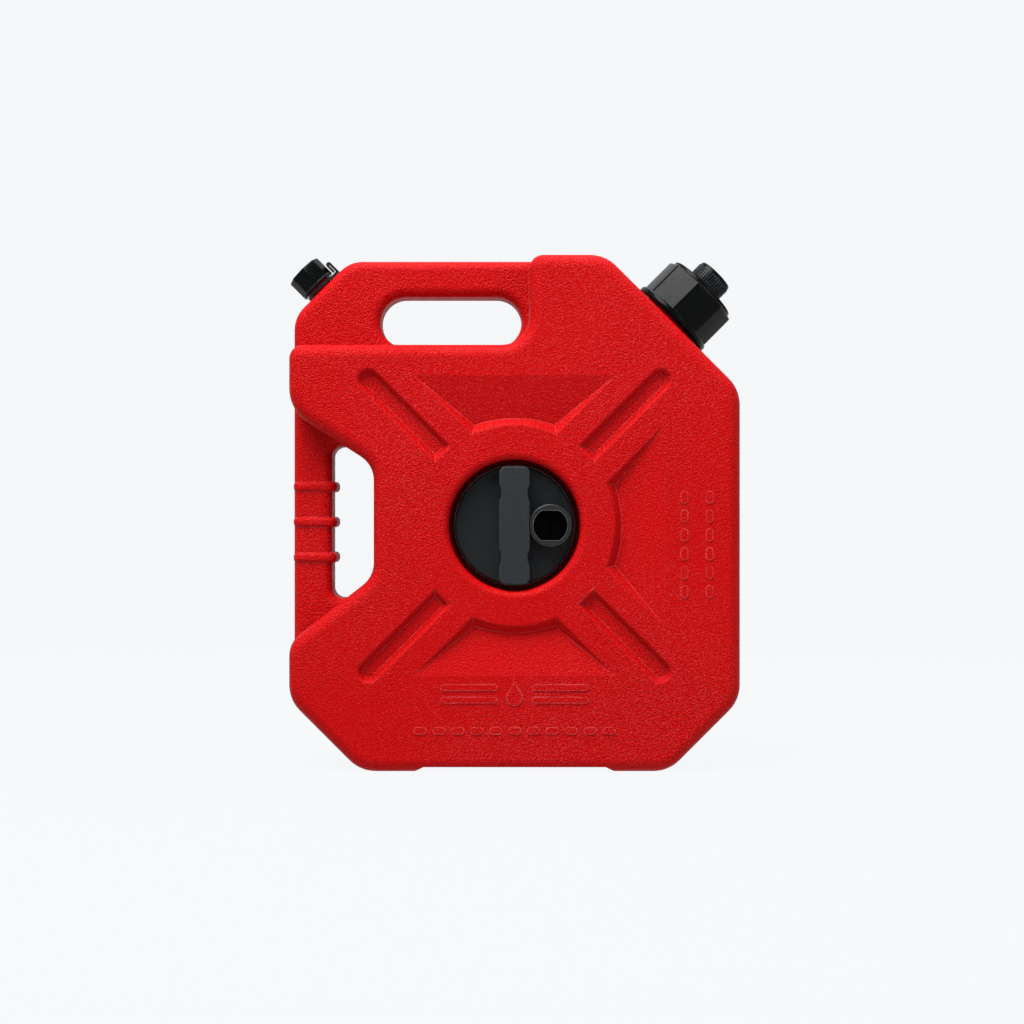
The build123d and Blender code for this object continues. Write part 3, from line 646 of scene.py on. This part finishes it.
@dataclass(frozen=True)
class PlatedMetal:
    """Plated or turned metal with stains and fine scratches."""

    name: str
    colour: Colour
    stain: Colour
    sheen: Sheen

    stains: ClassVar[Cloud] = Cloud(5 * MM, 5.0, 0.6)
    gloss_size: ClassVar[float] = 1.2 * MM
    smoother: ClassVar[float] = 0.08  # how far the roughness goes to each side of the sheen
    rougher: ClassVar[float] = 0.1
    scratch: ClassVar[float] = 0.4 * MM
    scratch_depth: ClassVar[float] = 0.01 * MM

    def build(self) -> bpy.types.Material:
        """Make the material.

        Returns:
            The material.
        """
        nodes = Nodes(self.name)
        stained = nodes.blend(nodes.cloud(self.stains), self.stain, self.colour)
        nodes.link(stained, nodes.shader.inputs["Base Color"])
        low, high = self.sheen.value - self.smoother, self.sheen.value + self.rougher
        rough = nodes.cloud(Cloud(self.gloss_size, 4.0, out_low=low, out_high=high))
        nodes.link(rough, nodes.shader.inputs["Roughness"])
        nodes.shader.inputs["Metallic"].default_value = 1.0
        scratched = nodes.bump(nodes.noise(self.scratch), self.scratch_depth)
        nodes.link(scratched, nodes.shader.inputs["Normal"])
        return nodes.material


@dataclass(frozen=True)
class StudioPaper:
    """Back-lit pale sheet under and behind the object, which takes hardly any shadow."""

    name: str
    colour: Colour
    glow: Colour

    cloudiness: ClassVar[Cloud] = Cloud(600 * MM, 2.0)
    shade: ClassVar[float] = 0.98  # its darkest patches, as a share of the colour
    roughness: ClassVar[float] = 0.95

    def build(self) -> bpy.types.Material:
        """Make the material.

        Returns:
            The material.
        """
        nodes = Nodes(self.name)
        darker = tuple(c * self.shade for c in self.colour)
        clouded = nodes.blend(nodes.cloud(self.cloudiness), darker, self.colour)
        nodes.link(clouded, nodes.shader.inputs["Base Color"])
        nodes.shader.inputs["Roughness"].default_value = self.roughness
        nodes.shader.inputs["Specular IOR Level"].default_value = 0.0
        nodes.shader.inputs["Emission Color"].default_value = (*self.glow, 1.0)
        nodes.shader.inputs["Emission Strength"].default_value = 1.0
        return nodes.material


# Each moulded plastic's second colour is painted highlight, laid on its edges and on its grain's
# crests; glint sets how much reaches the crests.
RED_SHELL = MouldedPlastic(
    "red_shell_grained", (0.378, 0.0006, 0.0012), (0.56, 0.075, 0.078), Sheen.SATIN,
    specular=0.05, grain=1.2 * MM, depth=0.46 * MM, fine_depth=0.09 * MM, mottle=0.05,
    glint=0.50, edge=1.0 * MM,
)
BLACK_CAP = MouldedPlastic(
    "black_cap_gloss", (0.0008, 0.0012, 0.0014), (0.085, 0.088, 0.094), Sheen.GLOSS,
    specular=0.07, grain=0.9 * MM, depth=0.015 * MM, fine_depth=0.006 * MM, mottle=0.3,
    edge=0.7 * MM,
)
BLACK_STRAP = MouldedPlastic(
    "black_strap_satin", (0.002, 0.0022, 0.0025), (0.050, 0.051, 0.054), Sheen.SATIN,
    specular=0.16, grain=0.8 * MM, depth=0.02 * MM, fine_depth=0.008 * MM, mottle=0.3,
)
CHARCOAL_DISC = MouldedPlastic(
    "charcoal_disc_grained", (0.0062, 0.0088, 0.0098), (0.03, 0.032, 0.034), Sheen.MATT,
    specular=0.16, grain=0.7 * MM, depth=0.04 * MM, fine_depth=0.012 * MM, mottle=0.3,
)
GREY_GRIP = MouldedPlastic(
    "grey_grip_pebbled", (0.0125, 0.0150, 0.0170), (0.12, 0.125, 0.13), Sheen.MATT,
    specular=0.18, grain=0.9 * MM, depth=0.16 * MM, fine_depth=0.03 * MM, mottle=0.15, glint=0.35,
)
LOCK_RING = MouldedPlastic(
    "lock_ring_satin", (0.006, 0.007, 0.008), (0.20, 0.205, 0.21), Sheen.SATIN,
    specular=0.3, grain=0.6 * MM, depth=0.01 * MM, fine_depth=0.005 * MM, mottle=0.2,
    edge=0.6 * MM,
)
RUBBER = MouldedPlastic(
    "black_rubber_matt", (0.008, 0.008, 0.008), (0.02, 0.02, 0.02), Sheen.MATT,
    specular=0.3, grain=0.6 * MM, depth=0.02 * MM, fine_depth=0.01 * MM, mottle=0.25,
)
WHITE_SLIP = MouldedPlastic(
    "white_slip_smooth", (0.45, 0.44, 0.42), (0.5, 0.5, 0.48), Sheen.SATIN,
    specular=0.4, grain=1.0 * MM, depth=0.01 * MM, fine_depth=0.004 * MM, mottle=0.06,
)
LOCK_METAL = MouldedPlastic(
    "lock_metal_black", (0.0005, 0.0005, 0.0007), (0.003, 0.003, 0.003), Sheen.MATT,
    specular=0.03, grain=0.5 * MM, depth=0.01 * MM, fine_depth=0.004 * MM, mottle=0.3,
)
STEEL = PlatedMetal("steel_zinc", (0.42, 0.43, 0.44), (0.30, 0.30, 0.29), Sheen.GLOSS)
BRASS = PlatedMetal("brass_turned", (0.52, 0.36, 0.14), (0.38, 0.25, 0.10), Sheen.GLOSS)
PALE_PAPER = StudioPaper("pale_paper", (0.011, 0.011, 0.011), (0.907, 0.917, 0.935))

Finish = MouldedPlastic | PlatedMetal | StudioPaper


# ------------------------------------------------------------------ sub-assemblies
class SubAssembly:
    """What every sub-assembly needs: the frame, and the finishes that are already made."""

    made: dict[str, bpy.types.Material] = {}

    def __init__(self, frame: dict) -> None:
        """Keep the frame.
        """
        self.frame = frame

    @classmethod
    def material(cls, finish: Finish) -> bpy.types.Material:
        """Make a finish once, and hand out the same material afterwards.

        Args:
            finish: The finish.

        Returns:
            Its material.
        """
        if finish.name not in cls.made:
            cls.made[finish.name] = finish.build()
        return cls.made[finish.name]

    def coat(self, piece: bpy.types.Object, finish: Finish) -> None:
        """Give a piece one finish all over.

        Args:
            piece: The piece.
            finish: Its finish.
        """
        piece.data.materials.clear()
        piece.data.materials.append(self.material(finish))

    def dress(self, node: str, finish: Finish) -> None:
        """Give a CAD node a finish, on its object's own slots.

        Args:
            node: Name of the node.
            finish: Its finish.
        """
        piece = self.frame["nodes"][node]
        for slot in piece.material_slots:
            slot.link = "OBJECT"
            slot.material = self.material(finish)
        LOG.info("dressed %s in %s", node, finish.name)

    def settle(
        self, piece: bpy.types.Object, body: str, finish: Finish, slot: str, stands_for: str
    ) -> None:
        """Finish a new piece: its material, the body it rides on and the node it stands for.

        Args:
            piece: The new piece, with its place in its mesh.
            body: CAD body that it rides on.
            finish: Finish that it gets.
            slot: The record's material slot; not used.
            stands_for: CAD node that it replaces.
        """
        self.coat(piece, finish)
        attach(piece, body)
        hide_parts(stands_for)
        LOG.info("made %s, %d faces, on %s", piece.name, len(piece.data.polygons), body)


class CadNodes(SubAssembly):
    """CAD nodes whose shape is right: they only get their finish."""

    finishes = {
        "red_shell": RED_SHELL,
        "black_cap": BLACK_CAP,
        "black_strap": BLACK_STRAP,
        "charcoal_disc": CHARCOAL_DISC,
        "grey_grip": GREY_GRIP,
        "lock_ring": LOCK_RING,
        "lock_metal": LOCK_METAL,
        "black_rubber": RUBBER,
        "white_slip": WHITE_SLIP,
        "steel": STEEL,
        "brass": BRASS,
    }

    def build(self) -> None:
        """Dress each node by the record's material slot."""
        for row in self.frame["record"]["subparts"]:
            self.dress(row["node"], self.finishes[row["material_slot"]])


@dataclass(frozen=True)
class CollarSizes:
    """Sizes of the filler's collar that its outer reach doesn't give."""

    sides: int = 8
    phase: float = -7.6  # how far the collar has been screwed round, in degrees
    flange_proud: float = 1.1 * MM
    flange_height: float = 4.6 * MM
    crown_height: float = 2.3 * MM
    crown_setback: float = 3.0 * MM
    bore: float = 22.8 * MM
    bore_top: float = 29.5 * MM
    mouth: float = 14.9 * MM
    corner_round: float = 1.5 * MM
    rim_round: float = 1.1 * MM


@dataclass(frozen=True)
class StopperSizes:
    """Sizes of the small ribbed stopper that its outer reach doesn't give."""

    ribs: int = 40
    rib_proud: float = 0.45 * MM
    rib_margin: float = 0.12 * MM
    head_height: float = 11.9 * MM
    plain_foot: float = 1.4 * MM
    plain_top: float = 2.6 * MM
    end_round: float = 1.5 * MM
    end_angle: float = 60  # only the ends' edges are sharper than this, in degrees
    dish: float = 8.2 * MM
    dish_depth: float = 0.5 * MM
    plug: float = 8.2 * MM


class Filler(SubAssembly):
    """The eight-sided collar and the small stopper in its middle."""

    collar_sizes = CollarSizes()
    stopper_sizes = StopperSizes()

    def build(self) -> None:
        """Model the collar and the stopper."""
        seat = Seat.of_joint(self.frame, "collar_turn", TOWARDS_VIEWER)
        self.collar(seat)
        self.stopper(seat)

    def collar(self, seat: Seat) -> None:
        """Model the collar, with its round foot flange, round crown and bores.

        Args:
            seat: The filler's place.
        """
        size = self.collar_sizes
        reach = seat.measure(self.frame["nodes"]["filler_collar"])
        corner = reach.radius - size.flange_proud
        grip_top = reach.high - size.crown_height
        collar = Bench.prism("collar_grip", size.sides, corner, reach.low, grip_top, size.phase)
        Bench.round_edges(collar, size.corner_round)
        flange_top = reach.low + size.flange_height
        flange = Bench.prism("flange", ROUND, reach.radius, reach.low, flange_top)
        Bench.round_edges(flange, size.corner_round, Bench.small_round_steps)
        crown_radius = corner - size.crown_setback
        crown = Bench.prism("crown", ROUND, crown_radius, grip_top - size.rim_round, reach.high)
        Bench.round_edges(crown, size.rim_round, Bench.small_round_steps)
        Bench.weld(collar, flange)
        Bench.weld(collar, crown)
        Bench.cut(collar, Bench.prism("bore", ROUND, size.bore, reach.low - OVERLAP, size.bore_top))
        Bench.cut(collar, Bench.prism("mouth", ROUND, size.mouth, reach.low, reach.high + OVERLAP))
        Bench.smooth(collar)
        Bench.place(collar, seat)
        self.settle(collar, "collar", BLACK_CAP, "black_cap", "filler_collar")

    def stopper(self, seat: Seat) -> None:
        """Model the stopper: a ribbed head with a dished top, and the plug under it.

        Args:
            seat: The filler's place.
        """
        size = self.stopper_sizes
        reach = seat.measure(self.frame["nodes"]["stopper_cap"])
        radius = reach.radius - size.rib_proud
        foot = reach.high - size.head_height
        head = Bench.prism("stopper_head", 2 * size.ribs, radius, foot, reach.high)
        Bench.round_edges(head, size.end_round, angle=size.end_angle)
        low, high = foot + size.plain_foot, reach.high - size.plain_top
        Bench.ribs(head, low, high, size.rib_proud, size.rib_margin)
        dish_floor = reach.high - size.dish_depth
        Bench.cut(head, Bench.prism("dish", ROUND, size.dish, dish_floor, reach.high + OVERLAP))
        Bench.weld(head, Bench.prism("plug", ROUND, size.plug, reach.low, foot + OVERLAP))
        Bench.smooth(head)
        Bench.place(head, seat)
        self.settle(head, "stopper", BLACK_CAP, "black_cap", "stopper_cap")


@dataclass(frozen=True)
class VentSizes:
    """Sizes of the vent's cap that its outer reach doesn't give."""

    sides: int = 8
    phase: float = 1.5  # how far the cap has been screwed round, in degrees
    corner_round: float = 0.9 * MM
    lip_setback: float = 0.1 * MM
    lip_height: float = 1.6 * MM
    lip_round: float = lip_height / 3
    panel_setback: float = 3.2 * MM
    panel_depth: float = 0.7 * MM
    bore: float = 9.2 * MM
    roof: float = 15.8 * MM


class Vent(SubAssembly):
    """The small eight-sided vent cap."""

    sizes = VentSizes()

    def build(self) -> None:
        """Model the cap, with its foot lip, bore and sunk top."""
        size = self.sizes
        seat = Seat.of_joint(self.frame, "vent_turn", TOWARDS_VIEWER)
        reach = seat.measure(self.frame["nodes"]["vent_cap"])
        cap = Bench.prism("vent_grip", size.sides, reach.radius, reach.low, reach.high, size.phase)
        Bench.round_edges(cap, size.corner_round)
        lip_radius, lip_top = reach.radius - size.lip_setback, reach.low + size.lip_height
        lip = Bench.prism("lip", ROUND, lip_radius, reach.low, lip_top)
        Bench.round_edges(lip, size.lip_round, Bench.small_round_steps)
        Bench.weld(cap, lip)
        Bench.cut(cap, Bench.prism("bore", ROUND, size.bore, reach.low - OVERLAP, size.roof))
        panel, floor = reach.radius - size.panel_setback, reach.high - size.panel_depth
        Bench.cut(cap, Bench.prism("panel", ROUND, panel, floor, reach.high + OVERLAP))
        Bench.smooth(cap)
        Bench.place(cap, seat)
        self.settle(cap, "vent", BLACK_CAP, "black_cap", "vent_cap")


# ------------------------------------------------------------------ studio
@dataclass(frozen=True)
class SheetSizes:
    """Sizes of the pale sheet that runs along the floor and up behind the object."""

    width: float = 40.0
    front: float = -20.0
    back: float = 2.2
    bend: float = 0.8
    top: float = 5.0
    bend_steps: int = 24
    crease: float = 60  # edges sharper than this would show, in degrees


@dataclass(frozen=True)
class Lamp:
    """One round area lamp, aimed at the middle of the object."""

    name: str
    place: tuple[float, float, float]
    size: float
    power: float


@dataclass(frozen=True)
class Air:
    """Even light from all round."""

    colour: Colour
    strength: float


@dataclass(frozen=True)
class CameraSizes:
    """A level camera, which looks along Y, and its lens in millimetres."""

    place: tuple[float, float, float] = (-0.0016, -1.4, 0.1656)
    tilt: float = 90  # from straight down, in degrees
    lens: float = 75
    sensor: float = 36
    reach: float = 80  # farthest thing that it sees, in metres


class Studio:
    """Floor, backdrop, lights and camera."""

    sheet = SheetSizes()
    air = Air((0.93, 0.95, 1.0), 0.3)
    view = CameraSizes()
    aim = Vector((0, 0, 0.17))
    lamps = (
        Lamp("key_lamp", (-0.5, -0.82, 1.9), 1.6, 98),
        Lamp("fill_lamp", (1.4, -1.5, 0.9), 1.1, 9),
        Lamp("top_lamp", (0.1, 0.25, 1.5), 0.9, 9),
    )

    def backdrop(self) -> None:
        """Lay the pale sheet: a floor strip whose rear edge is bent up in a smooth curve."""
        size = self.sheet
        Bench.clear_selection()
        bpy.ops.mesh.primitive_plane_add(size=1.0)
        sheet = bpy.context.object
        sheet.name = "studio_sheet"
        sheet.scale = (size.width, size.back - size.front, 1.0)
        middle = (size.back + size.front) / 2
        sheet.location = (0, middle, 0)
        bpy.ops.object.transform_apply(location=True, rotation=True, scale=True)
        with Bench.editing(sheet) as mesh:
            bpy.ops.mesh.select_mode(type="EDGE")
            for edge in mesh.edges:
                edge.select_set(all(vertex.co.y > middle for vertex in edge.verts))
            bmesh.update_edit_mesh(sheet.data)
            step = math.radians(90) / size.bend_steps
            chord = 2 * size.bend * math.sin(step / 2)
            for k in range(size.bend_steps):
                lean = (k + 0.5) * step
                move = (0, chord * math.cos(lean), chord * math.sin(lean))
                bpy.ops.mesh.extrude_region_move(TRANSFORM_OT_translate={"value": move})
            bpy.ops.mesh.extrude_region_move(TRANSFORM_OT_translate={"value": (0, 0, size.top)})
        Bench.smooth(sheet, size.crease)
        sheet.data.materials.append(SubAssembly.material(PALE_PAPER))

    def light(self, lamp: Lamp) -> None:
        """Hang one lamp, out of the camera's sight.

        Args:
            lamp: The lamp.
        """
        Bench.clear_selection()
        bpy.ops.object.light_add(type="AREA", location=lamp.place)
        hung = bpy.context.object
        hung.name = lamp.name
        hung.data.shape = "DISK"
        hung.data.size = lamp.size
        hung.data.energy = lamp.power
        hung.visible_camera = False
        towards_aim = self.aim - Vector(lamp.place)
        hung.rotation_euler = towards_aim.to_track_quat("-Z", "Y").to_euler()

    def camera(self) -> None:
        """Put the camera in front, level with the middle of the tank."""
        view = self.view
        tilt = (math.radians(view.tilt), 0, 0)
        bpy.ops.object.camera_add(location=view.place, rotation=tilt)
        camera = bpy.context.object
        camera.name = "front_camera"
        camera.data.lens = view.lens
        camera.data.sensor_width = view.sensor
        camera.data.clip_end = view.reach
        bpy.context.scene.camera = camera

    def surround(self) -> None:
        """Fill the scene with even light."""
        world = bpy.data.worlds.new("studio_air")
        world.use_nodes = True
        background = world.node_tree.nodes["Background"]
        background.inputs["Color"].default_value = (*self.air.colour, 1.0)
        background.inputs["Strength"].default_value = self.air.strength
        bpy.context.scene.world = world

    def build(self) -> None:
        """Set the whole studio up."""
        bpy.context.scene.view_settings.view_transform = "Standard"
        self.surround()
        self.backdrop()
        for lamp in self.lamps:
            self.light(lamp)
        self.camera()


def main() -> None:
    """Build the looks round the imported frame."""
    logging.basicConfig(level=logging.INFO, format="%(name)s: %(message)s")
    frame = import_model()
    Studio().build()
    for part in (CadNodes, Filler, Vent):
        part(frame).build()


if __name__ == "__main__":
    main()
